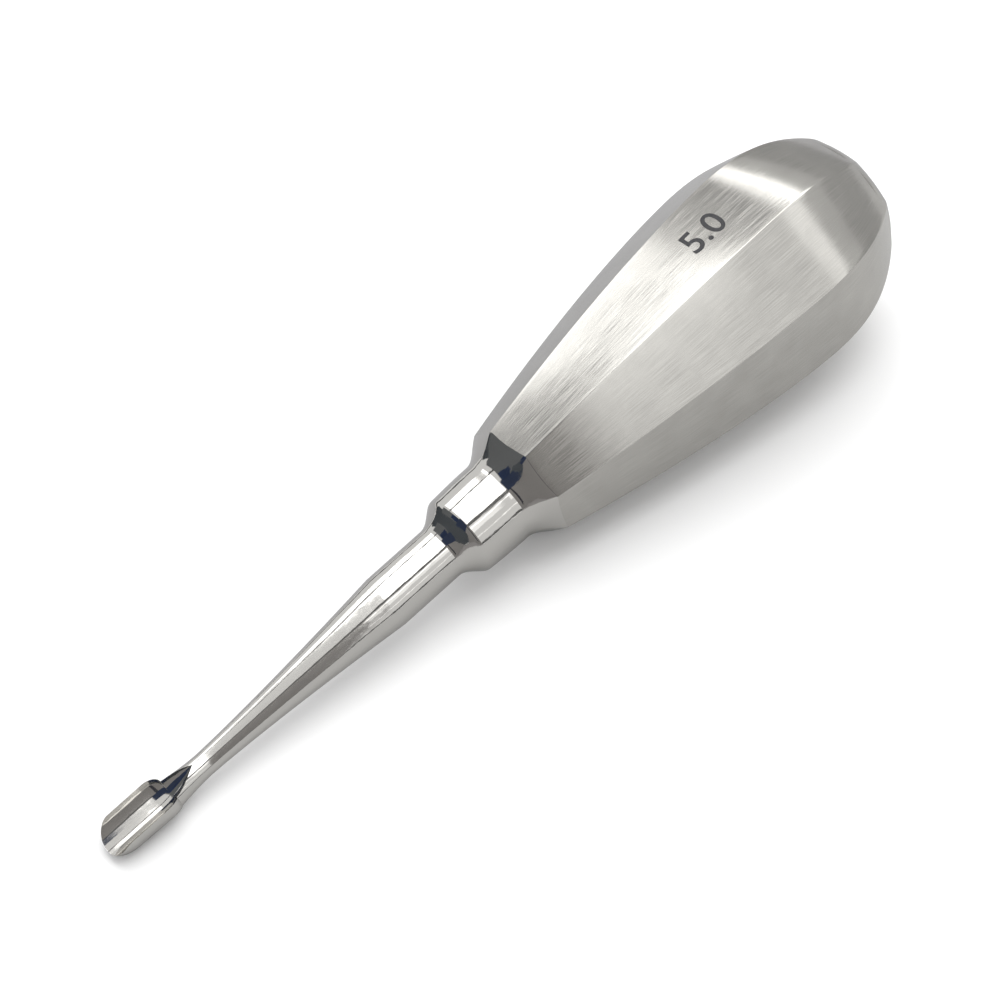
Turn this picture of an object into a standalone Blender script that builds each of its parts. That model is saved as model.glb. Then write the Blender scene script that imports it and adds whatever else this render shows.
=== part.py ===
"""Winged elevator, a one-piece stainless hand tool with a stubby octagonal handle.

From the tip to the butt it has a scooped blade with two side wings, a thin
neck, a tapering round shank, a round collar and a pear-shaped handle of
eight flats with a rounded butt. A flare between the collar and the handle
turns from round to eight-sided. The tool lies on the floor as it comes to
rest, with the scoop and one handle flat facing up.
Lengths are in metres and run along the axis from the tip.
"""

import math

import bmesh
import bpy
from mathutils import Matrix, Vector

# Blade
BLADE_WIDTH = 0.0050
TIP_LENGTH = 0.0026
TIP_FULLNESS = 2.4
BLADE_LENGTH = 0.0074
WING_END_LENGTH = 0.0019
WING_RISE = 0.00160
TROUGH_DEPTH = 0.00190
BLADE_BELLY = 0.00165
NOSE_LENGTH = 0.0035
NOSE_START = math.radians(11.0)

# Run-out of the scoop into the neck
RUNOUT_LENGTH = 0.0037
RUNOUT_RADIUS = 0.00184
RUNOUT_OPENING = math.radians(57.0)
RUNOUT_CURVE = 1.6
FLOOR_CURVE = 2.0

# Neck and shank
NECK_RADIUS = 0.00144
NECK_LENGTH = 0.0010
TAPER_LENGTH = 0.0280
TAPER_CURVE = 1.4
SHANK_RADIUS = 0.00339
SHANK_LENGTH = 0.0086

# Collar with a cove in front and a flare behind that turns from round to eight-sided
FRONT_COVE_LENGTH = 0.0031
COVE_TURN = math.radians(135.0)
COLLAR_EDGE_RADIUS = 0.00520
COLLAR_RADIUS = 0.00541
COLLAR_LENGTH = 0.0061
FLARE_LENGTH = 0.0040

# Handle: the radii are taken over the ridges between the flats
FLATS = 8
HANDLE_FRONT_RADIUS = 0.00788
HANDLE_FRONT_SCALLOP = 0.0002
HANDLE_LENGTH = 0.0567
BELLY_DISTANCE = 0.0402
BELLY_RADIUS = 0.01418
FRONT_CURVE = 1.5
REAR_CURVE = 2.42
BUTT_RADIUS = 0.0091
BUTT_LENGTH = 0.0016
BUTT_FACE_RADIUS = 0.0062
BUTT_START = math.radians(58.0)

# Fineness of the surface
COLUMNS_PER_FLAT = 6
TROUGH_STEPS = 14
NOSE_ROWS = 8
WING_ROWS = 4
WING_END_ROWS = 6
RUNOUT_ROWS = 6
TAPER_ROWS = 10
COVE_ROWS = 7
COLLAR_ROWS = 4
FLARE_ROWS = 8
FRONT_FLAT_ROWS = 9
REAR_FLAT_ROWS = 6
BUTT_ROWS = 6
SMOOTH_ANGLE = math.radians(12.0)

# Finish
STEEL_COLOUR = (0.60, 0.59, 0.57, 1.0)
STEEL_ROUGHNESS = 0.3

# Positions along the axis
WING_END = BLADE_LENGTH + WING_END_LENGTH
RUNOUT_END = WING_END + RUNOUT_LENGTH
NECK = RUNOUT_END + NECK_LENGTH
SHANK_START = NECK + TAPER_LENGTH
SHANK_END = SHANK_START + SHANK_LENGTH
COLLAR_START = SHANK_END + FRONT_COVE_LENGTH
COLLAR_END = COLLAR_START + COLLAR_LENGTH
HANDLE_START = COLLAR_END + FLARE_LENGTH
BELLY = HANDLE_START + BELLY_DISTANCE
HANDLE_END = HANDLE_START + HANDLE_LENGTH
BUTT_EDGE = HANDLE_END - BUTT_LENGTH
REAR_FLATS = BELLY + (BUTT_EDGE - BELLY) / 3.0
COLUMNS = FLATS * COLUMNS_PER_FLAT
TROUGH_FLOOR = WING_RISE - TROUGH_DEPTH


def steps(first, last, count):
    """Return evenly spaced values from first to last, both included."""
    return [first + (last - first) * i / count for i in range(count + 1)]


def blend(first, last, share):
    """Return the value a given share of the way from first to last."""
    return first + (last - first) * share


def circle_through(half_width, edge, bottom):
    """Return radius and centre height of the arc over two edges and a bottom."""
    drop = edge - bottom
    radius = (half_width ** 2 + drop ** 2) / (2.0 * drop)
    return radius, bottom + radius


def neck_radius(x):
    """Return the radius between the blade and the parallel shank."""
    if x < NECK:
        share = (NECK - x) / (NECK - WING_END)
        return blend(NECK_RADIUS, RUNOUT_RADIUS, share ** RUNOUT_CURVE)
    share = (x - NECK) / TAPER_LENGTH
    return blend(NECK_RADIUS, SHANK_RADIUS, share ** TAPER_CURVE)


def ridge_radius(x):
    """Return the radius of the handle over its ridges."""
    if x < BELLY:
        share = ((BELLY - x) / BELLY_DISTANCE) ** FRONT_CURVE
        return blend(BELLY_RADIUS, HANDLE_FRONT_RADIUS, share)
    share = ((x - BELLY) / (BUTT_EDGE - BELLY)) ** REAR_CURVE
    return blend(BELLY_RADIUS, BUTT_RADIUS, share)


COLUMN_ANGLES = steps(0.0, 2.0 * math.pi, COLUMNS)[:-1]


def flat_factor(angle):
    """Return the distance to a flat as a share of the ridge radius."""
    half = math.pi / FLATS
    off_centre = (angle + half) % (2.0 * half) - half
    return math.cos(half) / math.cos(off_centre)


def wave(share, turn):
    """Return how far a smooth rise has come, from 0 to 1, over this turn of a wave."""
    return (1.0 - math.cos(turn * share)) / (1.0 - math.cos(turn))


def handle_front(angle):
    """Return where the flat at this angle starts, a little forward in its middle."""
    hollow = (1.0 - flat_factor(angle)) / (1.0 - flat_factor(0.0))
    return HANDLE_START - HANDLE_FRONT_SCALLOP * hollow


def scoop_floor(x):
    """Return the height of the scoop's floor, which rises into the neck."""
    if x < BLADE_LENGTH:
        return TROUGH_FLOOR
    share = (x - BLADE_LENGTH) / (RUNOUT_END - BLADE_LENGTH)
    return blend(TROUGH_FLOOR, neck_radius(RUNOUT_END), share ** FLOOR_CURVE)


def blade_stations():
    """Return position, half width and edge height of each section of the blade."""
    half = 0.5 * BLADE_WIDTH
    trough_radius, trough_centre = circle_through(half, WING_RISE, TROUGH_FLOOR)
    power = 2.0 / TIP_FULLNESS
    stations = []
    for turn in steps(NOSE_START, 0.5 * math.pi, NOSE_ROWS):
        x = TIP_LENGTH * (1.0 - max(math.cos(turn), 0.0) ** power)
        width = half * math.sin(turn) ** power
        stations.append((x, width, trough_centre - math.sqrt(trough_radius ** 2 - width ** 2)))
    for x in steps(TIP_LENGTH, BLADE_LENGTH, WING_ROWS)[1:]:
        stations.append((x, half, WING_RISE))
    neck_half = RUNOUT_RADIUS * math.sin(RUNOUT_OPENING)
    neck_edge = RUNOUT_RADIUS * math.cos(RUNOUT_OPENING)
    for turn in steps(0.0, 0.5 * math.pi, WING_END_ROWS)[1:]:
        width = blend(neck_half, half, math.cos(turn))
        edge = blend(neck_edge, WING_RISE, math.cos(turn))
        stations.append((BLADE_LENGTH + WING_END_LENGTH * math.sin(turn), width, edge))
    for share in steps(0.0, 1.0, RUNOUT_ROWS)[1:-1]:
        x = WING_END + RUNOUT_LENGTH * share
        opening = RUNOUT_OPENING * (1.0 - share ** RUNOUT_CURVE)
        radius = neck_radius(x)
        stations.append((x, radius * math.sin(opening), radius * math.cos(opening)))
    return stations


def blade_belly(x):
    """Return how far the underside of the blade lies below the axis."""
    if x < NOSE_LENGTH:
        share = math.sqrt(1.0 - (1.0 - x / NOSE_LENGTH) ** 2)
        return blend(-TROUGH_FLOOR, BLADE_BELLY, share)
    if x < WING_END:
        share = (x - NOSE_LENGTH) / (WING_END - NOSE_LENGTH)
        return blend(BLADE_BELLY, RUNOUT_RADIUS, share)
    return neck_radius(x)


def blade_section(x, width, edge):
    """Return the points under and in the scoop, from one edge round to it again."""
    radius, centre = circle_through(width, edge, -blade_belly(x))
    start = math.atan2(width, edge - centre)
    points = []
    for angle in steps(start, 2.0 * math.pi - start, COLUMNS):
        points.append((x, radius * math.sin(angle), centre + radius * math.cos(angle)))
    inner, middle = circle_through(width, edge, scoop_floor(x))
    reach = math.atan2(width, middle - edge)
    for angle in steps(-reach, reach, TROUGH_STEPS)[1:-1]:
        points.append((x, inner * math.sin(angle), middle - inner * math.cos(angle)))
    return points


def turned_rows():
    """Return position and radius of the round rows from the neck to the collar's end."""
    rows = [(RUNOUT_END, neck_radius(RUNOUT_END))]
    rows += [(x, neck_radius(x)) for x in steps(NECK, SHANK_START, TAPER_ROWS)]
    for share in steps(0.0, 1.0, COVE_ROWS):
        radius = blend(SHANK_RADIUS, COLLAR_EDGE_RADIUS, wave(share, COVE_TURN))
        rows.append((SHANK_END + FRONT_COVE_LENGTH * share, radius))
    for share in steps(0.0, 1.0, COLLAR_ROWS)[1:]:
        radius = blend(COLLAR_EDGE_RADIUS, COLLAR_RADIUS, math.sin(0.5 * math.pi * share))
        rows.append((COLLAR_START + COLLAR_LENGTH * share, radius))
    return rows


def section_ring(places, radii):
    """Return the points of one row from the position and radius of each column."""
    return [(x, radius * math.sin(angle), radius * math.cos(angle))
            for x, radius, angle in zip(places, radii, COLUMN_ANGLES)]


def flare_rings():
    """Return the rows behind the collar, from round to the eight-sided handle front."""
    rings = []
    for share in steps(0.0, 1.0, FLARE_ROWS)[1:]:
        places = []
        radii = []
        for angle in COLUMN_ANGLES:
            places.append(blend(COLLAR_END, handle_front(angle), share))
            front = HANDLE_FRONT_RADIUS * flat_factor(angle)
            radii.append(blend(COLLAR_RADIUS, front, wave(share, COVE_TURN)))
        rings.append(section_ring(places, radii))
    return rings


def flat_rings():
    """Return the eight-sided rows from behind the handle's front edge to the butt."""
    rings = []
    places = steps(HANDLE_START, REAR_FLATS, FRONT_FLAT_ROWS)
    places += steps(REAR_FLATS, BUTT_EDGE, REAR_FLAT_ROWS)[1:]
    for x in places[1:]:
        radii = [ridge_radius(x) * flat_factor(angle) for angle in COLUMN_ANGLES]
        rings.append(section_ring([x] * COLUMNS, radii))
    return rings


def butt_rings():
    """Return the rows of the butt, from eight-sided at its rim to round."""
    axial = BUTT_LENGTH / (1.0 - math.sin(BUTT_START))
    radial = (BUTT_RADIUS - BUTT_FACE_RADIUS) / math.cos(BUTT_START)
    rings = []
    for share in steps(0.0, 1.0, BUTT_ROWS)[1:]:
        turn = blend(BUTT_START, 0.5 * math.pi, share)
        x = HANDLE_END - axial * (1.0 - math.sin(turn))
        over_ridge = BUTT_FACE_RADIUS + radial * math.cos(turn)
        radii = [over_ridge * blend(flat_factor(a), 1.0, share) for a in COLUMN_ANGLES]
        rings.append(section_ring([x] * COLUMNS, radii))
    return rings


def join_rings(bm, first, second):
    """Span two closed rows of the same number of points with faces."""
    count = len(first)
    for i in range(count):
        j = (i + 1) % count
        bm.faces.new((first[i], first[j], second[j], second[i]))


def close_ring(bm, ring, point):
    """Close a row with a fan of triangles to one point."""
    centre = bm.verts.new(point)
    count = len(ring)
    for i in range(count):
        bm.faces.new((ring[i], ring[(i + 1) % count], centre))


def build_surface(bm):
    """Build the whole tool along the X axis with its scoop facing up."""
    sections = [[bm.verts.new(p) for p in blade_section(*s)] for s in blade_stations()]
    close_ring(bm, sections[0], (0.0, 0.0, TROUGH_FLOOR))
    for first, second in zip(sections, sections[1:]):
        join_rings(bm, first, second)
    rings = [section_ring([x] * COLUMNS, [radius] * COLUMNS) for x, radius in turned_rows()]
    rings += flare_rings() + flat_rings() + butt_rings()
    rings = [[bm.verts.new(p) for p in ring] for ring in rings]
    neck = rings[0]
    last = sections[-1]
    for i in range(COLUMNS):
        bm.faces.new((last[i], last[i + 1], neck[(i + 1) % COLUMNS], neck[i]))
    trough = last[COLUMNS:] + last[:1]
    for i in range(len(trough) - 1):
        bm.faces.new((trough[i], trough[i + 1], neck[0]))
    for first, second in zip(rings, rings[1:]):
        join_rings(bm, first, second)
    close_ring(bm, rings[-1], (HANDLE_END, 0.0, 0.0))
    bmesh.ops.recalc_face_normals(bm, faces=bm.faces)


def centre_of_mass(bm):
    """Return the centre of mass of the closed surface at even density."""
    volume = 0.0
    moment = Vector((0.0, 0.0, 0.0))
    for triangle in bm.calc_loop_triangles():
        first, second, third = (loop.vert.co for loop in triangle)
        part = first.dot(second.cross(third)) / 6.0
        volume += part
        moment += part * (first + second + third) / 4.0
    return moment / volume


def resting_edge(bm):
    """Return the two lowest points, seen from the side, that carry the tool."""
    centre = centre_of_mass(bm)
    hull = []
    for point in sorted((v.co.x, v.co.z) for v in bm.verts):
        while len(hull) > 1:
            ax, az = hull[-2]
            bx, bz = hull[-1]
            if (bx - ax) * (point[1] - az) - (bz - az) * (point[0] - ax) > 0.0:
                break
            hull.pop()
        hull.append(point)
    for first, second in zip(hull, hull[1:]):
        run = second[0] - first[0]
        rise = second[1] - first[1]
        along = run * (centre.x - first[0]) + rise * (centre.z - first[1])
        if 0.0 <= along <= run * run + rise * rise:
            return first, second
    raise RuntimeError("the tool has no side to rest on")


def lay_down(bm):
    """Turn the tool as it rests and put the middle of its box at the origin."""
    first, second = resting_edge(bm)
    tilt = math.atan2(second[1] - first[1], second[0] - first[0])
    bmesh.ops.transform(bm, matrix=Matrix.Rotation(tilt, 4, "Y"), verts=bm.verts)
    low_x = min(v.co.x for v in bm.verts)
    high_x = max(v.co.x for v in bm.verts)
    low_z = min(v.co.z for v in bm.verts)
    shift = Vector((-0.5 * (low_x + high_x), 0.0, -low_z))
    bmesh.ops.translate(bm, vec=shift, verts=bm.verts)


def steel_material():
    """Return the bare stainless steel of the whole tool."""
    material = bpy.data.materials.new("stainless_steel")
    material.use_nodes = True
    shader = material.node_tree.nodes["Principled BSDF"]
    shader.inputs["Base Color"].default_value = STEEL_COLOUR
    shader.inputs["Metallic"].default_value = 1.0
    shader.inputs["Roughness"].default_value = STEEL_ROUGHNESS
    return material


def build_elevator():
    """Add the finished tool to the scene as one object."""
    bm = bmesh.new()
    build_surface(bm)
    lay_down(bm)
    mesh = bpy.data.meshes.new("elevator")
    bm.to_mesh(mesh)
    bm.free()
    mesh.materials.append(steel_material())
    mesh.shade_smooth()
    mesh.set_sharp_from_angle(angle=SMOOTH_ANGLE)
    elevator = bpy.data.objects.new("elevator", mesh)
    bpy.context.scene.collection.objects.link(elevator)


for scene_object in list(bpy.data.objects):
    bpy.data.objects.remove(scene_object)
build_elevator()
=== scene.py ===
"""Studio scene of a winged elevator, a one-piece stainless hand tool.

The tool is modelled lying along the X axis with its tip at the origin and its
scoop facing up, one row of points at a time, and is then laid down as the
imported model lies. Lengths are in metres.
"""

import math

import bmesh
import bpy
from bpy.props import FloatProperty, FloatVectorProperty, PointerProperty, StringProperty
from mathutils import Matrix, Vector


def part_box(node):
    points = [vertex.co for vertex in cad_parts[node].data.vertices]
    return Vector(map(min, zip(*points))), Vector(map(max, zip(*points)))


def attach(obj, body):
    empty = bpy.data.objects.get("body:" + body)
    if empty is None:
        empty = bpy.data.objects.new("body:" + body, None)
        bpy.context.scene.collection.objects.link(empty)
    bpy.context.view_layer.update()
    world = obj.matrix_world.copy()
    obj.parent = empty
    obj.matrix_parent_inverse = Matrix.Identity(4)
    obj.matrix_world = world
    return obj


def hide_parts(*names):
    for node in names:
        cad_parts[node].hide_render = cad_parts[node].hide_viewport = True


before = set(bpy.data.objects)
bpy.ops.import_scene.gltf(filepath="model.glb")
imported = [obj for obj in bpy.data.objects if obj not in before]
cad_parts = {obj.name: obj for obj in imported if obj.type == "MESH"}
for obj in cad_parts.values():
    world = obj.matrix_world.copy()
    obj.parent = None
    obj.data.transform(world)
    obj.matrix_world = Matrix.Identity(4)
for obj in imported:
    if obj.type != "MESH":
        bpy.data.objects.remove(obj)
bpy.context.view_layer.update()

bl_info = {
    "name": "Winged Elevator",
    "version": (1, 0, 0),
    "blender": (4, 5, 0),
    "location": "View3D > Sidebar > Elevator",
    "description": "Models a winged elevator with its finishes and a small studio",
    "category": "Add Mesh",
}

# Columns of points round the tool and across the scoop
FLATS = 8
COLUMNS = 160
SCOOP_COLUMNS = 40
PER_FLAT = COLUMNS // FLATS
TURNS = [math.tau * number / COLUMNS for number in range(COLUMNS)]

# Rows of points along each stretch of the tool, from the tip to the butt
TIP_ROWS = 24
WING_ROWS = 10
WING_END_ROWS = 16
RUNOUT_ROWS = 18
NECK_ROWS = 3
TAPER_ROWS = 36
SHANK_ROWS = 4
COVE_ROWS = 24
CORNER_ROWS = 10
COLLAR_ROWS = 12
FLARE_ROWS = 28
CREASE_ROWS = 5
FRONT_ROWS = 34
REAR_ROWS = 18
BUTT_ROWS = 14

# Rows of the butt over which the rounded ridges fade out
RIDGE_END_ROWS = 8

# Widest angle between faces that still look like one smooth surface
SMOOTH_ANGLE = math.radians(32.0)

# How far the middle of a flat stands out, as a share of its distance to the axis
FLAT_CROWN = 0.004

# Radius of the handle at which the brushed lines have their width
MEAN_RADIUS = 0.0125

# Length of the tool that one unit of the grain's map covers
MAP_LENGTH = 0.1

# Points nearer than this are one point
SAME_POINT = 1e-8

# Height of a figure as a share of the size of its font
FIGURE_HEIGHT = 0.70

# Shares of its range in which a noise pattern mostly lies
NOISE_LOW = 0.3
NOISE_HIGH = 0.7

# Span of the lean of the brushed lines along the tool, across it and upwards
GRAIN_LEAN = (0.020, 0.012, 0.012)

# Roughness of the satin steel, and the tones of its grain, its clouds and the mark
SATIN_ROUGHNESS = (0.13, 0.23)
GRAIN_TONE = (0.92, 1.05)
CLOUD_TONE = (0.95, 1.05)
MARK_TONE = (0.80, 1.25)

# Lean of the top flat for each metre from its middle line: in front, from the middle
# on, and what the rear adds to that
FRONT_TWIST = 6.0
MIDDLE_TWIST = 2.0
REAR_TWIST = 14.5

# Growth of what the rear adds, towards the far side, for each metre
FAR_SIDE_TWIST = 110.0

# Places along the tool at rest between which the front and the rear twist change
FRONT_STRETCH = (0.018, 0.034)
REAR_STRETCH = (0.040, 0.050)

# Upward part of the normal over which a face comes to count as part of the top flat
TOP_FACING = (0.80, 0.90)

# Places at rest that the camera and the lamps face
AIM_POINT = Vector((-0.0002843, 0.0000205, 0.0083693))
LIT_POINT = Vector((0.0, 0.0, 0.010))

# Each lamp's name, turn round the tool and lean along it in degrees, distance, length
# along the tool, width across it, and brightness where 1 shows as white
LAMPS = (
    ("overhead_lamp", -1.5, 26.5, 0.50, 0.49, 0.56, 1.9),
    ("far_lamp_middle", -44.0, 8.5, 1.50, 0.340, 0.69, 1.5),
    ("far_lamp_rear", -44.0, 35.0, 1.50, 0.150, 0.69, 0.80),
    ("far_lamp_rear_soft", -44.0, 35.0, 1.52, 0.320, 0.69, 0.60),
    ("near_strip", 41.0, 14.0, 0.50, 0.80, 0.024, 1.0),
    ("near_thin_strip", 68.0, 14.0, 0.50, 0.80, 0.014, 0.8),
    ("near_lamp_middle", 45.0, 5.5, 1.50, 0.440, 0.40, 0.5),
    ("near_lamp_rear", 54.0, 35.0, 1.50, 0.300, 0.60, 0.4),
)

# Each card's name, turn, lean, distance, length, width and colour. They are the grey
# and dark parts of the room that the steel mirrors between the lamps.
CARDS = (
    ("seam_far", -33.0, 14.0, 0.49, 0.80, 0.030, "#303030"),
    ("seam_near", 31.0, 14.0, 0.49, 0.80, 0.070, "#707070"),
    ("line_far", -85.0, 14.0, 0.49, 0.80, 0.035, "#303030"),
    ("line_near", 89.0, 14.0, 0.49, 0.80, 0.043, "#606060"),
    ("far_grey", -37.0, 24.6, 0.48, 0.108, 0.160, "#ACACAC"),
    ("behind_butt", 10.0, 62.0, 0.45, 0.126, 0.90, "#C8C8C8"),
    ("far_behind_butt", 10.0, 84.0, 0.46, 0.410, 0.90, "#A8A8A8"),
    ("photographer", 70.0, -30.0, 0.30, 0.32, 0.50, "#7F7D7C"),
    ("photographer_edge", 58.0, -21.0, 0.29, 0.036, 0.66, "#3C3C42"),
    ("photographer_arm", 16.0, -32.0, 0.30, 0.295, 0.16, "#343C50"),
    ("ceiling_grey", -12.0, -35.0, 0.47, 0.27, 0.90, "#66686A"),
    ("ceiling_dark", -5.0, -36.0, 0.46, 0.23, 0.49, "#2E3850"),
    ("ceiling_far", 0.0, -66.0, 0.48, 0.31, 2.40, "#4C5054"),
)

# Each table card's name, middle, length, width and colour. They are the part of the
# table round the paper that the sides of the tool mirror.
TABLE_CARDS = (
    ("table_card_near", (0.0, -0.175, 0.0001), 0.900, 0.350, "#B8B8B8"),
    ("table_card_tip", (-0.2475, -0.1850, 0.0002), 0.405, 0.330, "#888686"),
    ("table_card_far", (0.0, 0.175, 0.0001), 0.900, 0.350, "#ACACAE"),
)


def length(name, default, description):
    """Return a length property in metres."""
    return FloatProperty(name=name, description=description, default=default, min=0.0,
                         unit="LENGTH", subtype="DISTANCE", precision=5)


def angle(name, default, description):
    """Return an angle property whose default is in degrees."""
    return FloatProperty(name=name, description=description, unit="ROTATION",
                         subtype="ANGLE", default=math.radians(default))


def linear(code):
    """Turn an sRGB hex colour into linear red, green and blue."""
    values = [int(code[start:start + 2], 16) / 255.0 for start in (1, 3, 5)]
    return [value / 12.92 if value <= 0.04045 else ((value + 0.055) / 1.055) ** 2.4
            for value in values]


def colour(name, code, description):
    """Return a colour property whose default is an sRGB hex value."""
    return FloatVectorProperty(name=name, description=description, subtype="COLOR",
                               size=3, min=0.0, max=1.0, default=linear(code))


class ElevatorSizes(bpy.types.PropertyGroup):
    """Sizes of the tool from the tip to the butt."""

    blade_width: length("Blade width", 0.0050, "Width over the two wings")
    tip_length: length("Tip length", 0.0026, "Length of the rounded end of the blade")
    blade_length: length("Blade length", 0.0074, "Tip to where the wings start to end")
    wing_end: length("Wing end", 0.0019, "Length over which the wings run in")
    wing_rise: length("Wing rise", 0.00160, "Height of the wing edges over the axis")
    scoop_depth: length("Scoop depth", 0.00190, "Depth of the scoop under the edges")
    belly: length("Blade belly", 0.00165, "Underside of the blade below the axis")
    runout: length("Run-out", 0.0037, "Length over which the scoop runs out")
    runout_radius: length("Run-out radius", 0.00184, "Radius where the run-out starts")
    neck_radius: length("Neck radius", 0.00144, "Thinnest radius behind the blade")
    taper: length("Taper", 0.0280, "Length of the tapering part of the shank")
    shank_radius: length("Shank radius", 0.00339, "Radius of the parallel shank")
    shank: length("Shank length", 0.0086, "Length of the parallel shank")
    front_cove: length("Front cove", 0.0031, "Length of the cove in front of the collar")
    collar_edge: length("Collar edge radius", 0.00520, "Radius of the collar's front edge")
    collar_rounding: length("Collar rounding", 0.00032, "Reach of the rounding on that edge")
    collar_radius: length("Collar radius", 0.00541, "Radius of the collar behind")
    collar: length("Collar length", 0.0061, "Length of the round collar")
    flare: length("Flare length", 0.0040, "Length of the flare behind the collar")
    handle_front: length("Handle front radius", 0.00788, "Radius over the ridges in front")
    scallop: length("Scallop", 0.0002, "How far the flats' front ends bulge forward")
    handle: length("Handle length", 0.0567, "Length of the eight flats with the butt")
    belly_distance: length("Widest place", 0.0402, "Front of the handle to its belly")
    belly_radius: length("Belly radius", 0.01418, "Widest radius over the ridges")
    butt_radius: length("Butt radius", 0.0091, "Radius over the ridges at the butt's rim")
    butt: length("Butt length", 0.0016, "Length of the rounded butt")
    butt_face: length("Butt face radius", 0.0062, "Radius of the flat face of the butt")
    rounding: length("Edge rounding", 0.00005, "Width of the rounding on the ridges")
    tilt: angle("Resting tilt", -6.723, "Turn from lying along the axis to lying at rest")


class ElevatorFinish(bpy.types.PropertyGroup):
    """Colours and grain of the tool and its size mark."""

    polished: colour("Polished steel", "#D1CFCB", "Metal colour of the blade and shank")
    satin: colour("Satin steel", "#CAC8C3", "Metal colour of the handle")
    ripple_length: length("Ripple length", 0.0090, "Length of a ripple of the polish")
    ripple_width: length("Ripple width", 0.0018, "Width of a ripple of the polish")
    ripple_depth: length("Ripple depth", 0.000034, "Depth of the ripples of the polish")
    grain_width: length("Grain width", 0.00010, "Width of one brushed line")
    grain_length: length("Grain length", 0.0050, "Length of one brushed line")
    cloud_size: length("Cloud size", 0.00385, "Size of the faint cloudy patches")
    mark: colour("Laser mark", "#424244", "Colour of the size mark")
    mark_text: StringProperty(name="Size mark", description="Number on the top flat",
                              default="5.0")
    mark_height: length("Mark height", 0.0034, "Height of the figures of the size mark")
    mark_weight: length("Mark weight", 0.00004, "How much wider its strokes are drawn")
    mark_place: length("Mark place", 0.0976, "Tip to the middle of the size mark")
    mark_proud: length("Mark proud", 0.000012, "How far the mark stands over the flat")
    mark_speck: length("Mark speck", 0.00025, "Size of the specks in the mark's tone")


class StudioSettings(bpy.types.PropertyGroup):
    """Camera, floor and lamps."""

    azimuth: angle("View azimuth", -33.696, "Turn of the camera round the tool")
    elevation: angle("View elevation", 48.117, "Height of the camera over the floor")
    roll: angle("Camera roll", -11.22, "Turn of the camera about its own axis")
    distance: length("Camera distance", 0.2817, "Camera to the middle of the tool")
    lens: FloatProperty(name="Lens", description="Focal length in millimetres",
                        default=86.58, min=1.0, unit="CAMERA")
    floor: colour("Floor", "#F6F6F6", "Colour of the floor")
    surround: FloatProperty(name="Surround", description="Brightness of the white tent",
                            default=0.85, min=0.0)
    brightness: FloatProperty(name="Lamps", description="Brightness of all the lamps",
                              default=1.0, min=0.0)


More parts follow.
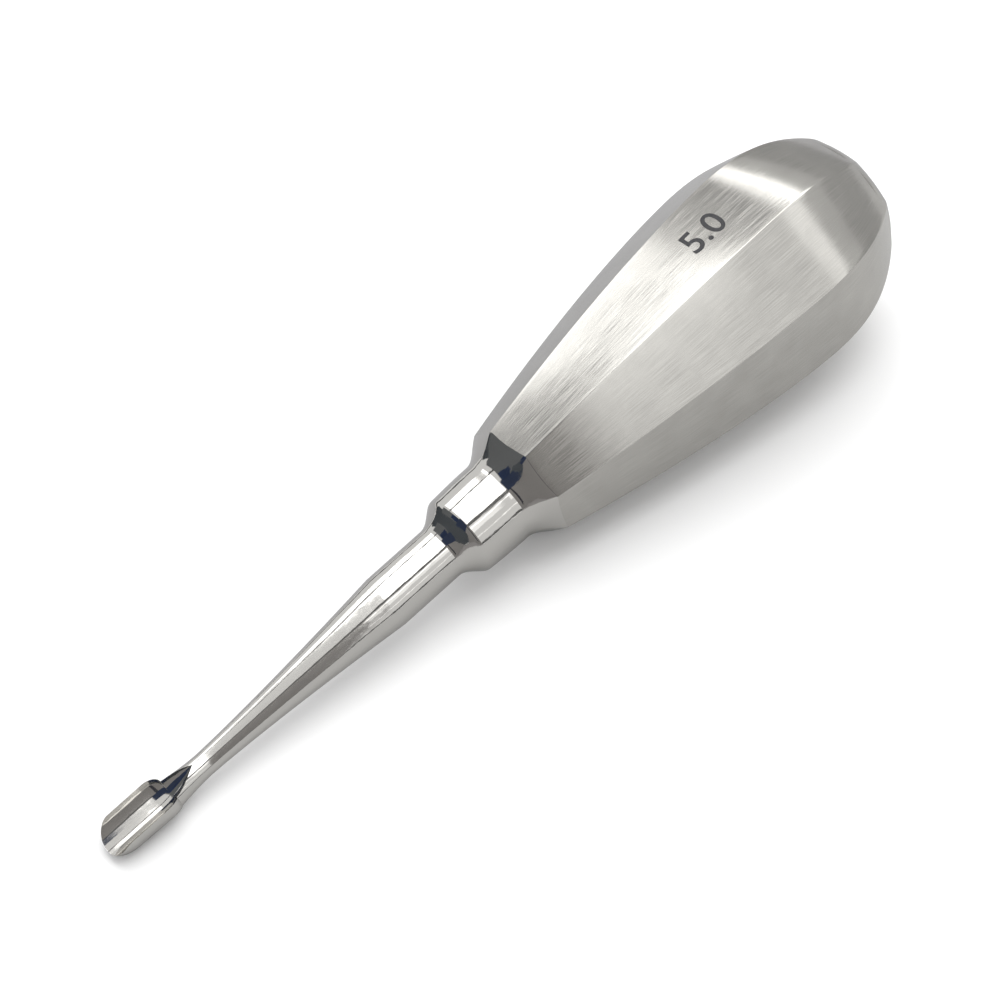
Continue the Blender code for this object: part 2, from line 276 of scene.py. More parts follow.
class Profile:
    """Outline of the tool worked out from its sizes.

    A curve is the power of the share along its stretch: 1 is straight, and
    more is flatter where the share is small.
    """

    # Fullness of the blade's rounded end, where 2 is an ellipse, and where on its
    # quarter turn the first row stands
    tip_fullness = 2.4
    tip_start = math.radians(3.0)

    # Length over which the underside of the nose rounds up
    nose = 0.0035

    # Half the opening of the scoop where its run-out starts
    runout_opening = math.radians(57.0)
    runout_curve = 1.6
    floor_curve = 2.0

    # Length of the neck behind the scoop
    neck = 0.0010
    taper_curve = 1.4

    # Turn of the wave by which a cove rises
    cove_turn = math.radians(135.0)
    front_curve = 1.5
    rear_curve = 2.42

    # Share of the handle's front over which the rows straighten behind the crease
    crease_reach = 0.08

    # Share of the handle's rear at which the rows draw closer
    rear_start = 0.2

    # Angle at which the butt's rounding leaves the flats, and shares of its flat
    # face's radius at which rows stand
    butt_start = math.radians(58.0)
    face_shares = (0.7, 0.4, 0.15)

    def __init__(self, sizes):
        self.sizes = sizes
        self.floor = sizes.wing_rise - sizes.scoop_depth
        self.wings_end = sizes.blade_length + sizes.wing_end
        self.runout_end = self.wings_end + sizes.runout
        self.neck_at = self.runout_end + self.neck
        self.shank_at = self.neck_at + sizes.taper
        self.cove_at = self.shank_at + sizes.shank
        self.collar_at = self.cove_at + sizes.front_cove
        self.collar_end = self.collar_at + sizes.collar
        self.handle_at = self.collar_end + sizes.flare
        self.belly_at = self.handle_at + sizes.belly_distance
        self.end = self.handle_at + sizes.handle
        self.rim_at = self.end - sizes.butt

    def wave(self, share):
        """Return how far a cove has risen, from 0 to 1, to its crisp end."""
        return (1.0 - math.cos(self.cove_turn * share)) / (1.0 - math.cos(self.cove_turn))

    def neck_radius(self, x):
        """Return the radius between the blade and the parallel shank."""
        sizes = self.sizes
        if x < self.neck_at:
            share = (self.neck_at - x) / (self.neck_at - self.wings_end)
            return blend(sizes.neck_radius, sizes.runout_radius, share ** self.runout_curve)
        share = (x - self.neck_at) / sizes.taper
        return blend(sizes.neck_radius, sizes.shank_radius, share ** self.taper_curve)

    def ridge_radius(self, x):
        """Return the radius of the handle over its ridges."""
        sizes = self.sizes
        if x < self.belly_at:
            share = ((self.belly_at - x) / sizes.belly_distance) ** self.front_curve
            return blend(sizes.belly_radius, sizes.handle_front, share)
        share = ((x - self.belly_at) / (self.rim_at - self.belly_at)) ** self.rear_curve
        return blend(sizes.belly_radius, sizes.butt_radius, share)

    def crease(self, turn):
        """Return where the flat at this turn starts, a little forward in its middle."""
        hollow = (1.0 - flat_factor(turn)) / (1.0 - flat_factor(0.0))
        return self.handle_at - self.sizes.scallop * hollow

    def blade_belly(self, x):
        """Return how far the underside of the blade lies below the axis."""
        if x < self.nose:
            share = math.sqrt(1.0 - (1.0 - x / self.nose) ** 2)
            return blend(-self.floor, self.sizes.belly, share)
        if x < self.wings_end:
            share = (x - self.nose) / (self.wings_end - self.nose)
            return blend(self.sizes.belly, self.sizes.runout_radius, share)
        return self.neck_radius(x)

    def blade_section(self, x, width, edge, floor):
        """Return the points under and in the scoop, from one edge round to it again."""
        radius, centre = circle_through(width, edge, -self.blade_belly(x))
        start = math.atan2(width, edge - centre)
        points = [(x, radius * math.sin(turn), centre + radius * math.cos(turn))
                  for turn in steps(start, math.tau - start, COLUMNS)]
        inner, middle = circle_through(width, edge, floor)
        reach = math.atan2(width, middle - edge)
        points += [(x, inner * math.sin(turn), middle - inner * math.cos(turn))
                   for turn in steps(-reach, reach, SCOOP_COLUMNS)[1:-1]]
        return points

    def blade_rows(self):
        """Return the rows of the blade from the nose to the end of the scoop."""
        sizes = self.sizes
        half = 0.5 * sizes.blade_width
        radius, centre = circle_through(half, sizes.wing_rise, self.floor)
        power = 2.0 / self.tip_fullness
        rows = []
        for turn in steps(self.tip_start, 0.5 * math.pi, TIP_ROWS):
            x = sizes.tip_length * (1.0 - max(math.cos(turn), 0.0) ** power)
            width = half * math.sin(turn) ** power
            edge = centre - math.sqrt(radius ** 2 - width ** 2)
            rows.append(self.blade_section(x, width, edge, self.floor))
        for x in steps(sizes.tip_length, sizes.blade_length, WING_ROWS)[1:]:
            rows.append(self.blade_section(x, half, sizes.wing_rise, self.floor))
        neck_half = sizes.runout_radius * math.sin(self.runout_opening)
        neck_edge = sizes.runout_radius * math.cos(self.runout_opening)
        for turn in steps(0.0, 0.5 * math.pi, WING_END_ROWS)[1:]:
            x = sizes.blade_length + sizes.wing_end * math.sin(turn)
            width = blend(neck_half, half, math.cos(turn))
            edge = blend(neck_edge, sizes.wing_rise, math.cos(turn))
            rows.append(self.blade_section(x, width, edge, self.runout_floor(x)))
        for share in steps(0.0, 1.0, RUNOUT_ROWS)[1:-1]:
            x = self.wings_end + sizes.runout * share
            opening = self.runout_opening * (1.0 - share ** self.runout_curve)
            width = self.neck_radius(x) * math.sin(opening)
            edge = self.neck_radius(x) * math.cos(opening)
            rows.append(self.blade_section(x, width, edge, self.runout_floor(x)))
        return rows

    def runout_floor(self, x):
        """Return the height of the scoop's floor where it runs out into the neck."""
        share = (x - self.sizes.blade_length) / (self.runout_end - self.sizes.blade_length)
        return blend(self.floor, self.neck_radius(self.runout_end),
                     share ** self.floor_curve)

    def turned_rows(self):
        """Return the round rows from behind the scoop to the collar's end."""
        sizes = self.sizes
        neck = steps(self.runout_end, self.neck_at, NECK_ROWS)
        taper = steps(self.neck_at, self.shank_at, TAPER_ROWS)[1:]
        rows = [(x, self.neck_radius(x)) for x in neck + taper]
        rows += [(x, sizes.shank_radius)
                 for x in steps(self.shank_at, self.cove_at, SHANK_ROWS)[1:]]
        cove_share = 1.0 - sizes.collar_rounding / sizes.front_cove
        for share in steps(0.0, cove_share, COVE_ROWS)[1:]:
            radius = blend(sizes.shank_radius, sizes.collar_edge, self.wave(share))
            rows.append((self.cove_at + sizes.front_cove * share, radius))
        collar = []
        for share in steps(sizes.collar_rounding / sizes.collar, 1.0, COLLAR_ROWS):
            radius = blend(sizes.collar_edge, sizes.collar_radius,
                           math.sin(0.5 * math.pi * share))
            collar.append((self.collar_at + sizes.collar * share, radius))
        rows += rounded_corner(rows[-1], (self.collar_at, sizes.collar_edge), collar[0])
        rows += collar
        return [ring([x] * COLUMNS, [radius] * COLUMNS) for x, radius in rows]

    def flare_rows(self):
        """Return the rows behind the collar, from round to the eight-sided handle front."""
        start = self.sizes.collar_radius
        creases = [self.crease(turn) for turn in TURNS]
        fronts = [self.ridge_radius(x) * flat_factor(turn)
                  for x, turn in zip(creases, TURNS)]
        rows = []
        for share in steps(0.0, 1.0, FLARE_ROWS)[1:]:
            places = [blend(self.collar_end, x, share) for x in creases]
            rows.append(ring(places, [blend(start, front, self.wave(share))
                                      for front in fronts]))
        return rows

    def handle_rows(self):
        """Return the rows of the eight flats from the crease to the butt's rim."""
        first = self.handle_at + self.crease_reach * self.sizes.belly_distance
        middle = blend(self.belly_at, self.rim_at, self.rear_start)
        rows = []
        for share in steps(0.0, 1.0, CREASE_ROWS)[1:]:
            rows.append([blend(self.crease(turn), first, share) for turn in TURNS])
        for x in (steps(first, middle, FRONT_ROWS)[1:]
                  + steps(middle, self.rim_at, REAR_ROWS)[1:]):
            rows.append([x] * COLUMNS)
        return [ring(places, [self.ridge_radius(x) * flat_factor(turn)
                              for x, turn in zip(places, TURNS)]) for places in rows]

    def butt_rows(self):
        """Return the rows of the butt, from eight-sided at its rim to round."""
        sizes = self.sizes
        axial = sizes.butt / (1.0 - math.sin(self.butt_start))
        radial = (sizes.butt_radius - sizes.butt_face) / math.cos(self.butt_start)
        rows = []
        for turn in steps(self.butt_start, 0.5 * math.pi, BUTT_ROWS)[1:]:
            x = self.end - axial * (1.0 - math.sin(turn))
            radius = sizes.butt_face + radial * math.cos(turn)
            share = (turn - self.butt_start) / (0.5 * math.pi - self.butt_start)
            factors = [blend(flat_factor(around), 1.0, share) for around in TURNS]
            rows.append(ring([x] * COLUMNS, [radius * factor for factor in factors]))
        for share in self.face_shares:
            rows.append(ring([self.end] * COLUMNS, [sizes.butt_face * share] * COLUMNS))
        return rows


def steps(first, last, count):
    """Return evenly spaced values from first to last, both included."""
    return [first + (last - first) * number / count for number in range(count + 1)]


def blend(first, last, share):
    """Return the value a given share of the way from first to last."""
    return first + (last - first) * share


def rounded_corner(first, corner, last):
    """Return the points between two ends that round off the corner between them."""
    points = []
    for share in steps(0.0, 1.0, CORNER_ROWS)[1:-1]:
        points.append([blend(blend(start, bend, share), blend(bend, end, share), share)
                       for start, bend, end in zip(first, corner, last)])
    return points


def circle_through(half_width, edge, bottom):
    """Return radius and centre height of the arc over two edges and a bottom."""
    drop = edge - bottom
    radius = (half_width ** 2 + drop ** 2) / (2.0 * drop)
    return radius, bottom + radius


def flat_factor(turn):
    """Return the distance to a slightly crowned flat as a share of the ridge radius."""
    half = math.pi / FLATS
    off_centre = (turn + half) % (2.0 * half) - half
    crown = FLAT_CROWN * (1.0 - (off_centre / half) ** 2)
    return (1.0 + crown) * math.cos(half) / math.cos(off_centre)


def ring(places, radii):
    """Return one row of points round the axis."""
    return [(x, radius * math.sin(turn), radius * math.cos(turn))
            for x, radius, turn in zip(places, radii, TURNS)]


def select_only(obj):
    """Make an object the only selected one and the active one."""
    bpy.ops.object.select_all(action="DESELECT")
    obj.select_set(True)
    bpy.context.view_layer.objects.active = obj


def extrude_row(mesh, number, points):
    """Extrude the open edge of a mesh and lay the new points on the next row."""
    bpy.ops.mesh.extrude_edges_indiv()
    bm = bmesh.from_edit_mesh(mesh)
    row, column = bm.verts.layers.int["row"], bm.verts.layers.int["column"]
    for vert in bm.verts:
        if vert.select:
            vert[row] = number
            vert.co = points[vert[column]]
    bmesh.update_edit_mesh(mesh)


def start_blade(name, points, tip):
    """Add the nose of the blade as a fan of points round its tip."""
    # The circle gives the points their order and each is then laid in its place
    bpy.ops.object.select_all(action="DESELECT")
    bpy.ops.mesh.primitive_circle_add(vertices=len(points), radius=0.001,
                                      fill_type="TRIFAN", enter_editmode=True)
    obj = bpy.context.object
    obj.name = obj.data.name = name
    bm = bmesh.from_edit_mesh(obj.data)
    row = bm.verts.layers.int.new("row")
    column = bm.verts.layers.int.new("column")
    for vert in bm.verts:
        if vert.is_boundary:
            turn = math.atan2(vert.co.y, vert.co.x) % math.tau
            vert[column] = round(turn / math.tau * len(points)) % len(points)
            vert.co = points[vert[column]]
        else:
            vert.co = tip
        vert[row] = 0
    for part in (*bm.faces, *bm.edges, *bm.verts):
        part.select_set(False)
    for edge in bm.edges:
        if edge.is_boundary:
            edge.select_set(True)
    bmesh.update_edit_mesh(obj.data)
    return obj


def close_scoop(mesh):
    """Merge the far end of the scoop into one point of the neck."""
    bpy.ops.mesh.remove_doubles(threshold=SAME_POINT)
    bm = bmesh.from_edit_mesh(mesh)
    column = bm.verts.layers.int["column"]
    for vert in bm.verts:
        if vert.select and vert[column] >= COLUMNS:
            vert[column] = 0
    bmesh.update_edit_mesh(mesh)


def model_tool(name, profile):
    """Model the tool row by row and return it with the rows of its crease and its rim."""
    blade = profile.blade_rows()
    turned = profile.turned_rows()
    flare = profile.flare_rows()
    handle = profile.handle_rows()
    obj = start_blade(name, blade[0], (0.0, 0.0, profile.floor))
    for number, points in enumerate(blade[1:], 1):
        extrude_row(obj.data, number, points)
    neck_row = len(blade)
    extrude_row(obj.data, neck_row, turned[0] + [turned[0][0]] * SCOOP_COLUMNS)
    close_scoop(obj.data)
    behind = turned[1:] + flare + handle + profile.butt_rows()
    for number, points in enumerate(behind, neck_row + 1):
        extrude_row(obj.data, number, points)
    bpy.ops.mesh.extrude_edges_indiv()
    bpy.ops.mesh.merge(type="CENTER")
    crease_row = neck_row + len(turned[1:] + flare)
    return obj, crease_row, crease_row + len(handle)


def finish_flats(mesh, crease_row, rim_row):
    """Give the handle its own finish and lay its grain round the axis."""
    bm = bmesh.from_edit_mesh(mesh)
    row, column = bm.verts.layers.int["row"], bm.verts.layers.int["column"]
    around = bm.loops.layers.uv.new("around")
    for face in bm.faces:
        rows = [vert[row] for vert in face.verts]
        face.material_index = 1 if max(rows) > crease_row else 0
        columns = [vert[column] for vert in face.verts]
        wraps = max(columns) - min(columns) > COLUMNS // 2
        for loop in face.loops:
            place = loop.vert[column]
            if wraps and place < COLUMNS // 2:
                place += COLUMNS
            loop[around].uv = (place / COLUMNS, loop.vert.co.x / MAP_LENGTH)
    for edge in bm.edges:
        ends = [(vert[row], vert[column]) for vert in edge.verts]
        ridge = ends[0][1] == ends[1][1] and ends[0][1] % PER_FLAT == PER_FLAT // 2
        last_row = rim_row + RIDGE_END_ROWS
        on_handle = all(crease_row <= end[0] <= last_row for end in ends)
        ring_edge = ends[0][0] == ends[1][0] and ends[0][0] in (crease_row, rim_row)
        edge.select_set(bool((ridge and on_handle) or ring_edge))
    bmesh.update_edit_mesh(mesh)


def model_mark(name, finish, profile):
    """Model the figures of the size mark on the top flat."""
    bpy.ops.object.select_all(action="DESELECT")
    bpy.ops.object.text_add(location=(0.0, 0.0, 0.0))
    obj = bpy.context.object
    obj.name = obj.data.name = name
    obj.data.body = finish.mark_text
    obj.data.size = finish.mark_height / FIGURE_HEIGHT
    obj.data.offset = finish.mark_weight
    obj.data.align_x = "CENTER"
    obj.data.align_y = "CENTER"
    obj.data.resolution_u = 8
    bpy.ops.object.convert(target="MESH")
    select_only(obj)
    bpy.ops.object.mode_set(mode="EDIT")
    bpy.ops.mesh.select_all(action="SELECT")
    bpy.ops.mesh.remove_doubles(threshold=SAME_POINT)
    bpy.ops.mesh.quads_convert_to_tris()
    for _ in range(2):
        bpy.ops.mesh.subdivide(number_cuts=1)
    bm = bmesh.from_edit_mesh(obj.data)
    for vert in bm.verts:
        x = vert.co.x + finish.mark_place
        radius = profile.ridge_radius(x)
        turn = math.atan2(vert.co.y, radius)
        height = radius * flat_factor(turn) * math.cos(turn)
        vert.co = (x, vert.co.y, height + finish.mark_proud)
    bmesh.update_edit_mesh(obj.data)
    bpy.ops.mesh.select_all(action="SELECT")
    bpy.ops.mesh.normals_make_consistent(inside=False)
    bpy.ops.object.mode_set(mode="OBJECT")
    return obj


def apply_modifier(obj, kind, **settings):
    """Add a modifier with its settings and apply it."""
    modifier = obj.modifiers.new(kind.title(), kind)
    for name, value in settings.items():
        setattr(modifier, name, value)
    bpy.context.view_layer.objects.active = obj
    bpy.ops.object.modifier_apply(modifier=modifier.name)


def lay_down(obj, sizes):
    """Turn a piece as the tool rests, with its place in its mesh."""
    select_only(obj)
    obj.rotation_euler = (0.0, sizes.tilt, 0.0)
    bpy.ops.object.transform_apply(location=False, rotation=True, scale=False)


def shift_to_packed(obj):
    """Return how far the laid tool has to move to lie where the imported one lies."""
    low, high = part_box("elevator")
    places = [vert.co for vert in obj.data.vertices]
    middle = 0.5 * (min(place.x for place in places) + max(place.x for place in places))
    lowest = min(place.z for place in places)
    return Vector((0.5 * (low.x + high.x) - middle, 0.0, low.z - lowest))


def move_mesh(obj, shift):
    """Move a piece by moving the points of its mesh."""
    select_only(obj)
    obj.location = shift
    bpy.ops.object.transform_apply(location=True, rotation=False, scale=False)


def add_node(tree, kind, inputs, **settings):
    """Add a node with its settings, input values and links."""
    node = tree.nodes.new(kind)
    for name, value in settings.items():
        setattr(node, name, value)
    for name, value in inputs.items():
        if isinstance(value, bpy.types.NodeSocket):
            tree.links.new(value, node.inputs[name])
        else:
            node.inputs[name].default_value = value
    return node


def new_material(name):
    """Return a new node material with its tree and its surface shader."""
    material = bpy.data.materials.new(name)
    material.use_nodes = True
    return material, material.node_tree, material.node_tree.nodes["Principled BSDF"]


def polished_steel(finish, tilt):
    """Stainless steel, turned and then mirror polished along the tool.

    The eye gets sharp bright bands and dark lines that waver a little, because
    hand polishing leaves the surface faintly rippled along its length.
    """
    material, tree, shader = new_material("mirror_polished_stainless_steel")
    place = add_node(tree, "ShaderNodeTexCoord", {})
    ripple_at = add_node(tree, "ShaderNodeMapping", {
        "Vector": place.outputs["Object"], "Rotation": (0.0, tilt, 0.0),
        "Scale": (finish.ripple_length, finish.ripple_width, finish.ripple_width)},
        vector_type="TEXTURE")
    ripple = add_node(tree, "ShaderNodeTexNoise", {
        "Vector": ripple_at.outputs["Vector"], "Scale": 1.0, "Detail": 4.0})
    bump = add_node(tree, "ShaderNodeBump", {
        "Strength": 1.0, "Distance": finish.ripple_depth, "Height": ripple.outputs["Fac"]})
    shader.inputs["Base Color"].default_value = (*finish.polished, 1.0)
    shader.inputs["Metallic"].default_value = 1.0
    shader.inputs["Roughness"].default_value = 0.07
    tree.links.new(bump.outputs["Normal"], shader.inputs["Normal"])
    return material


def satin_steel(finish):
    """Stainless steel, brushed along the handle with a fine belt.

    The eye gets short fine lines along the handle, highlights that end in
    ragged streaks because each line leans a little its own way, and faint
    cloudy patches. The real lines are finer than 0.1 mm and are drawn that wide
    so that they show.
    """
    material, tree, shader = new_material("satin_brushed_stainless_steel")
    place = add_node(tree, "ShaderNodeTexCoord", {})
    around = add_node(tree, "ShaderNodeUVMap", {}, uv_map="around")
    lines = math.tau * MEAN_RADIUS / finish.grain_width
    grain_at = add_node(tree, "ShaderNodeMapping", {
        "Vector": around.outputs["UV"],
        "Scale": (lines, MAP_LENGTH / finish.grain_length, 1.0)})
    grain = add_node(tree, "ShaderNodeTexNoise", {
        "Vector": grain_at.outputs["Vector"], "Scale": 1.0, "Detail": 1.0,
        "Roughness": 0.5})
    lean = add_node(tree, "ShaderNodeVectorMath", {
        0: grain.outputs["Color"], 1: (0.5, 0.5, 0.5)}, operation="SUBTRACT")
    leaning = add_node(tree, "ShaderNodeVectorMath", {
        0: lean.outputs["Vector"], 1: GRAIN_LEAN}, operation="MULTIPLY")
    surface = add_node(tree, "ShaderNodeNewGeometry", {})
    leant = add_node(tree, "ShaderNodeVectorMath", {
        0: surface.outputs["Normal"], 1: leaning.outputs["Vector"]}, operation="ADD")
    twist = flat_twist(tree, place.outputs["Object"], surface.outputs["Normal"])
    twisted = add_node(tree, "ShaderNodeVectorMath", {
        0: leant.outputs["Vector"], 1: twist.outputs["Vector"]}, operation="ADD")
    normal = add_node(tree, "ShaderNodeVectorMath", {
        0: twisted.outputs["Vector"]}, operation="NORMALIZE")
    clouds = add_node(tree, "ShaderNodeTexNoise", {
        "Vector": place.outputs["Object"], "Scale": 1.0 / finish.cloud_size,
        "Detail": 4.0})
    roughness = add_node(tree, "ShaderNodeMapRange", {
        "Value": grain.outputs["Fac"], "From Min": NOISE_LOW, "From Max": NOISE_HIGH,
        "To Min": SATIN_ROUGHNESS[0], "To Max": SATIN_ROUGHNESS[1]})
    shade = add_node(tree, "ShaderNodeMapRange", {
        "Value": grain.outputs["Fac"], "From Min": NOISE_LOW, "From Max": NOISE_HIGH,
        "To Min": GRAIN_TONE[0], "To Max": GRAIN_TONE[1]})
    tone = add_node(tree, "ShaderNodeMapRange", {
        "Value": clouds.outputs["Fac"], "From Min": NOISE_LOW, "From Max": NOISE_HIGH,
        "To Min": CLOUD_TONE[0], "To Max": CLOUD_TONE[1]})
    both = add_node(tree, "ShaderNodeMath", {
        0: shade.outputs["Result"], 1: tone.outputs["Result"]}, operation="MULTIPLY")
    base = add_node(tree, "ShaderNodeVectorMath", {
        0: tuple(finish.satin), "Scale": both.outputs["Value"]}, operation="SCALE")
    tangent = add_node(tree, "ShaderNodeTangent", {}, direction_type="UV_MAP",
                       uv_map="around")
    tree.links.new(base.outputs["Vector"], shader.inputs["Base Color"])
    shader.inputs["Metallic"].default_value = 1.0
    shader.inputs["Anisotropic"].default_value = 0.5
    tree.links.new(roughness.outputs["Result"], shader.inputs["Roughness"])
    tree.links.new(normal.outputs["Vector"], shader.inputs["Normal"])
    tree.links.new(tangent.outputs["Tangent"], shader.inputs["Tangent"])
    return material


def flat_twist(tree, place, normal):
    """Return the lean of the top flat, which the belt ground a little twisted.

    It is slight in front and grows behind the widest place, so that
    reflections cross the flat at a slant.
    """
    where = add_node(tree, "ShaderNodeSeparateXYZ", {"Vector": place})
    front = add_node(tree, "ShaderNodeMapRange", {
        "Value": where.outputs["X"], "From Min": FRONT_STRETCH[0],
        "From Max": FRONT_STRETCH[1], "To Min": FRONT_TWIST, "To Max": MIDDLE_TWIST})
    rear = add_node(tree, "ShaderNodeMapRange", {
        "Value": where.outputs["X"], "From Min": REAR_STRETCH[0],
        "From Max": REAR_STRETCH[1], "To Min": 0.0, "To Max": REAR_TWIST})
    far_side = add_node(tree, "ShaderNodeMath", {
        0: where.outputs["Y"], 1: FAR_SIDE_TWIST, 2: 1.0}, operation="MULTIPLY_ADD")
    amount = add_node(tree, "ShaderNodeMath", {
        0: far_side.outputs["Value"], 1: rear.outputs["Result"],
        2: front.outputs["Result"]}, operation="MULTIPLY_ADD")
    lean = add_node(tree, "ShaderNodeMath", {
        0: where.outputs["Y"], 1: amount.outputs["Value"]}, operation="MULTIPLY")
    facing = add_node(tree, "ShaderNodeSeparateXYZ", {"Vector": normal})
    on_top = add_node(tree, "ShaderNodeMapRange", {
        "Value": facing.outputs["Z"], "From Min": TOP_FACING[0],
        "From Max": TOP_FACING[1]})
    top_lean = add_node(tree, "ShaderNodeMath", {
        0: lean.outputs["Value"], 1: on_top.outputs["Result"]}, operation="MULTIPLY")
    return add_node(tree, "ShaderNodeCombineXYZ", {"X": top_lean.outputs["Value"]})


def laser_mark(finish):
    """Stainless steel darkened by a marking laser.

    The eye gets dull grey figures with a slightly uneven tone.
    """
    material, tree, shader = new_material("laser_darkened_stainless_steel")
    place = add_node(tree, "ShaderNodeTexCoord", {})
    burn = add_node(tree, "ShaderNodeTexNoise", {
        "Vector": place.outputs["Object"], "Scale": 1.0 / finish.mark_speck,
        "Detail": 2.0})
    tone = add_node(tree, "ShaderNodeMapRange", {
        "Value": burn.outputs["Fac"], "From Min": NOISE_LOW, "From Max": NOISE_HIGH,
        "To Min": MARK_TONE[0], "To Max": MARK_TONE[1]})
    base = add_node(tree, "ShaderNodeVectorMath", {
        0: tuple(finish.mark), "Scale": tone.outputs["Result"]}, operation="SCALE")
    tree.links.new(base.outputs["Vector"], shader.inputs["Base Color"])
    shader.inputs["Metallic"].default_value = 0.5
    shader.inputs["Roughness"].default_value = 0.6
    return material


def flat_material(name, tint):
    """Return a plain matt material for the stage."""
    material, tree, shader = new_material(name)
    shader.inputs["Base Color"].default_value = (*tint, 1.0)
    shader.inputs["Roughness"].default_value = 1.0
    shader.inputs["Specular IOR Level"].default_value = 0.0
    return material


def aim_matrix(tilt, beta, axial, distance):
    """Return the place of a lamp or card that faces the middle of the tool.

    Beta turns from straight above the tool towards the camera's side and
    axial leans from there towards the butt, both in degrees.
    """
    along = Matrix.Rotation(tilt, 3, "Y") @ Vector((1.0, 0.0, 0.0))
    above = Matrix.Rotation(tilt, 3, "Y") @ Vector((0.0, 0.0, 1.0))
    beta, axial = math.radians(beta), math.radians(axial)
    across = math.cos(beta) * above + math.sin(beta) * Vector((0.0, -1.0, 0.0))
    away = math.cos(axial) * across + math.sin(axial) * along
    side = (along - along.dot(away) * away).normalized()
    turn = Matrix((side, away.cross(side), away)).transposed()
    return Matrix.Translation(LIT_POINT + distance * away) @ turn.to_4x4()


def add_lamp(name, along, across, strength, place):
    """Add an area lamp of a given brightness that the camera doesn't see."""
    bpy.ops.object.light_add(type="AREA")
    lamp = bpy.context.object
    lamp.name = lamp.data.name = name
    lamp.data.shape = "RECTANGLE"
    lamp.data.size = along
    lamp.data.size_y = across
    lamp.data.energy = strength * math.pi * along * across
    lamp.matrix_world = place
    lamp.visible_camera = False


def add_card(name, material, along, across, place):
    """Add a matt card that shows only in reflections."""
    bpy.ops.object.select_all(action="DESELECT")
    bpy.ops.mesh.primitive_plane_add(size=1.0)
    card = bpy.context.object
    card.name = card.data.name = name
    card.scale = (along, across, 1.0)
    bpy.ops.object.transform_apply(location=False, rotation=False, scale=True)
    card.matrix_world = place
    card.data.materials.append(material)
    card.visible_camera = False
    card.visible_shadow = False
    card.visible_diffuse = False


def add_floor(studio):
    """Add a wide white floor."""
    bpy.ops.object.select_all(action="DESELECT")
    bpy.ops.mesh.primitive_circle_add(vertices=96, radius=1.5, fill_type="NGON")
    floor = bpy.context.object
    floor.name = floor.data.name = "floor"
    floor.data.materials.append(flat_material("matt_white_paper", studio.floor))


def add_tent(studio):
    """Add a white tent round everything."""
    world = bpy.data.worlds.new("white_tent")
    world.use_nodes = True
    back = world.node_tree.nodes["Background"]
    back.inputs["Color"].default_value = (1.0, 1.0, 1.0, 1.0)
    back.inputs["Strength"].default_value = studio.surround
    bpy.context.scene.world = world


def add_camera(studio):
    """Add the camera at the photograph's viewing angle."""
    turn, lift = studio.azimuth, studio.elevation
    away = Vector((math.sin(turn) * math.cos(lift), -math.cos(turn) * math.cos(lift),
                   math.sin(lift)))
    bpy.ops.object.camera_add()
    camera = bpy.context.object
    camera.name = "camera"
    camera.data.lens = studio.lens
    camera.data.sensor_width = 36.0
    camera.data.clip_start = 0.01
    camera.data.clip_end = 10.0
    aim = (-away).to_track_quat("-Z", "Y").to_matrix()
    roll = Matrix.Rotation(studio.roll, 3, "Z")
    camera.matrix_world = Matrix.LocRotScale(
        AIM_POINT + studio.distance * away, (aim @ roll).to_quaternion(), None)
    bpy.context.scene.camera = camera


class OBJECT_OT_elevator_tool(bpy.types.Operator):
    """Model the tool in one piece from the nose of its blade to its butt"""

    bl_idname = "object.elevator_tool"
    bl_label = "Tool"

    def execute(self, context):
        sizes = context.scene.elevator_sizes
        finish = context.scene.elevator_finish
        obj, crease_row, rim_row = model_tool("elevator_tool", Profile(sizes))
        finish_flats(obj.data, crease_row, rim_row)
        bpy.ops.mesh.bevel(offset=sizes.rounding, segments=2, profile=0.5,
                           affect="EDGES", clamp_overlap=True)
        bpy.ops.mesh.select_all(action="SELECT")
        bpy.ops.mesh.normals_make_consistent(inside=False)
        bpy.ops.object.mode_set(mode="OBJECT")
        obj.data.materials.append(polished_steel(finish, sizes.tilt))
        obj.data.materials.append(satin_steel(finish))
        bpy.ops.object.shade_smooth_by_angle(angle=SMOOTH_ANGLE)
        apply_modifier(obj, "WEIGHTED_NORMAL", keep_sharp=True)
        lay_down(obj, sizes)
        shift = shift_to_packed(obj)
        move_mesh(obj, shift)
        obj["shift"] = shift
        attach(obj, "root")
        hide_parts("elevator")
        return {"FINISHED"}


class OBJECT_OT_elevator_mark(bpy.types.Operator):
    """Lay the size mark on the top flat of the handle"""

    bl_idname = "object.elevator_mark"
    bl_label = "Size Mark"

    def execute(self, context):
        sizes = context.scene.elevator_sizes
        finish = context.scene.elevator_finish
        obj = model_mark("size_mark", finish, Profile(sizes))
        obj.data.materials.clear()
        obj.data.materials.append(laser_mark(finish))
        lay_down(obj, sizes)
        move_mesh(obj, Vector(bpy.data.objects["elevator_tool"]["shift"]))
        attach(obj, "root")
        return {"FINISHED"}


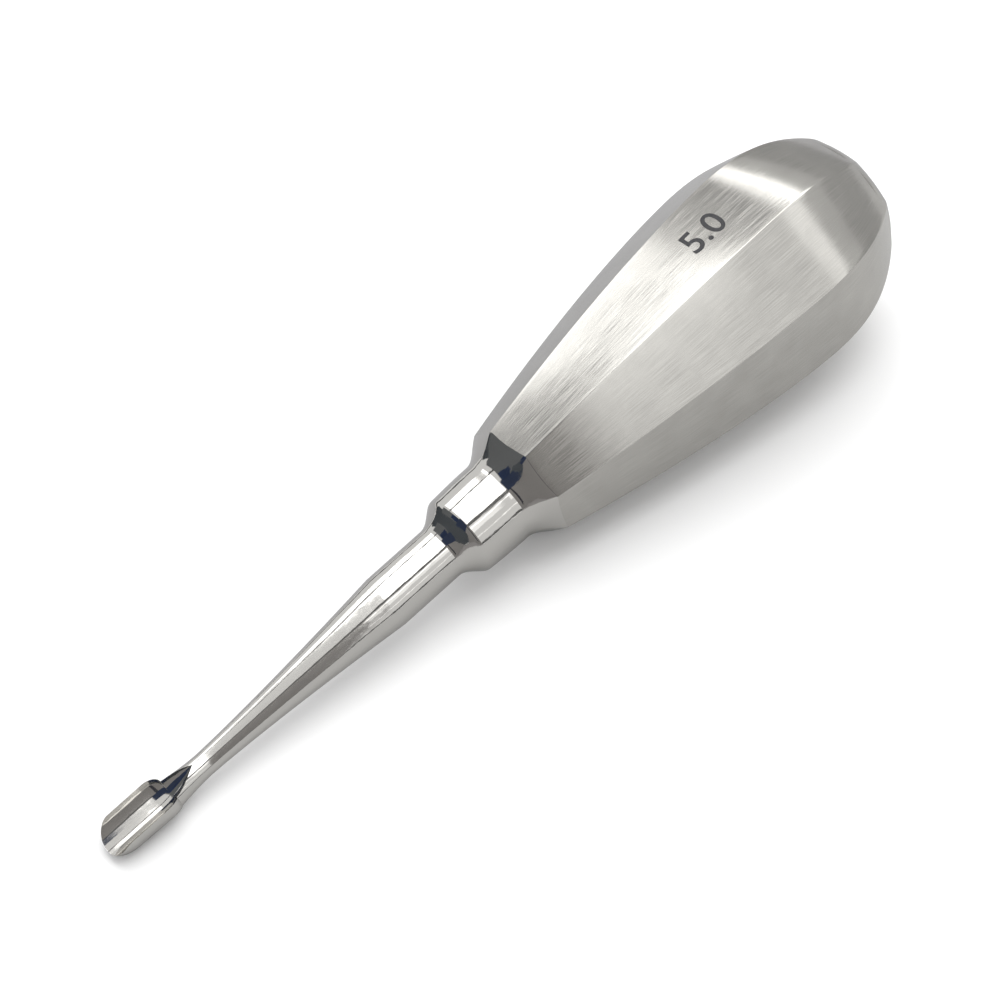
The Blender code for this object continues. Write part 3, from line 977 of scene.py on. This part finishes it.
class OBJECT_OT_elevator_stage(bpy.types.Operator):
    """Add the floor, the lamps and the camera"""

    bl_idname = "object.elevator_stage"
    bl_label = "Stage"

    def execute(self, context):
        studio = context.scene.elevator_studio
        tilt = context.scene.elevator_sizes.tilt
        add_floor(studio)
        add_tent(studio)
        for name, beta, axial, distance, along, across, strength in LAMPS:
            add_lamp(name, along, across, studio.brightness * strength,
                     aim_matrix(tilt, beta, axial, distance))
        for name, beta, axial, distance, along, across, code in CARDS:
            material = flat_material("matt_card_" + name, linear(code))
            add_card(name, material, along, across,
                     aim_matrix(tilt, beta, axial, distance))
        for name, middle, along, across, code in TABLE_CARDS:
            material = flat_material("matt_" + name, linear(code))
            add_card(name, material, along, across, Matrix.Translation(middle))
        add_camera(studio)
        context.scene.view_settings.view_transform = "Standard"
        return {"FINISHED"}


class VIEW3D_PT_elevator(bpy.types.Panel):
    """Buttons and sizes of the winged elevator"""

    bl_label = "Winged Elevator"
    bl_space_type = "VIEW_3D"
    bl_region_type = "UI"
    bl_category = "Elevator"

    def draw(self, context):
        layout = self.layout
        for operator in OPERATORS:
            layout.operator(operator.bl_idname)
        for group in ("elevator_sizes", "elevator_finish", "elevator_studio"):
            settings = getattr(context.scene, group)
            box = layout.box()
            for name in settings.bl_rna.properties.keys():
                if name not in ("rna_type", "name"):
                    box.prop(settings, name)


GROUPS = (ElevatorSizes, ElevatorFinish, StudioSettings)
OPERATORS = (OBJECT_OT_elevator_tool, OBJECT_OT_elevator_mark, OBJECT_OT_elevator_stage)


def register():
    for item in (*GROUPS, *OPERATORS, VIEW3D_PT_elevator):
        bpy.utils.register_class(item)
    bpy.types.Scene.elevator_sizes = PointerProperty(type=ElevatorSizes)
    bpy.types.Scene.elevator_finish = PointerProperty(type=ElevatorFinish)
    bpy.types.Scene.elevator_studio = PointerProperty(type=StudioSettings)


def unregister():
    del bpy.types.Scene.elevator_studio
    del bpy.types.Scene.elevator_finish
    del bpy.types.Scene.elevator_sizes
    for item in reversed((*GROUPS, *OPERATORS, VIEW3D_PT_elevator)):
        bpy.utils.unregister_class(item)


def main():
    """Build the scene."""
    register()
    bpy.ops.object.elevator_tool()
    bpy.ops.object.elevator_mark()
    bpy.ops.object.elevator_stage()


if __name__ == "__main__":
    main()
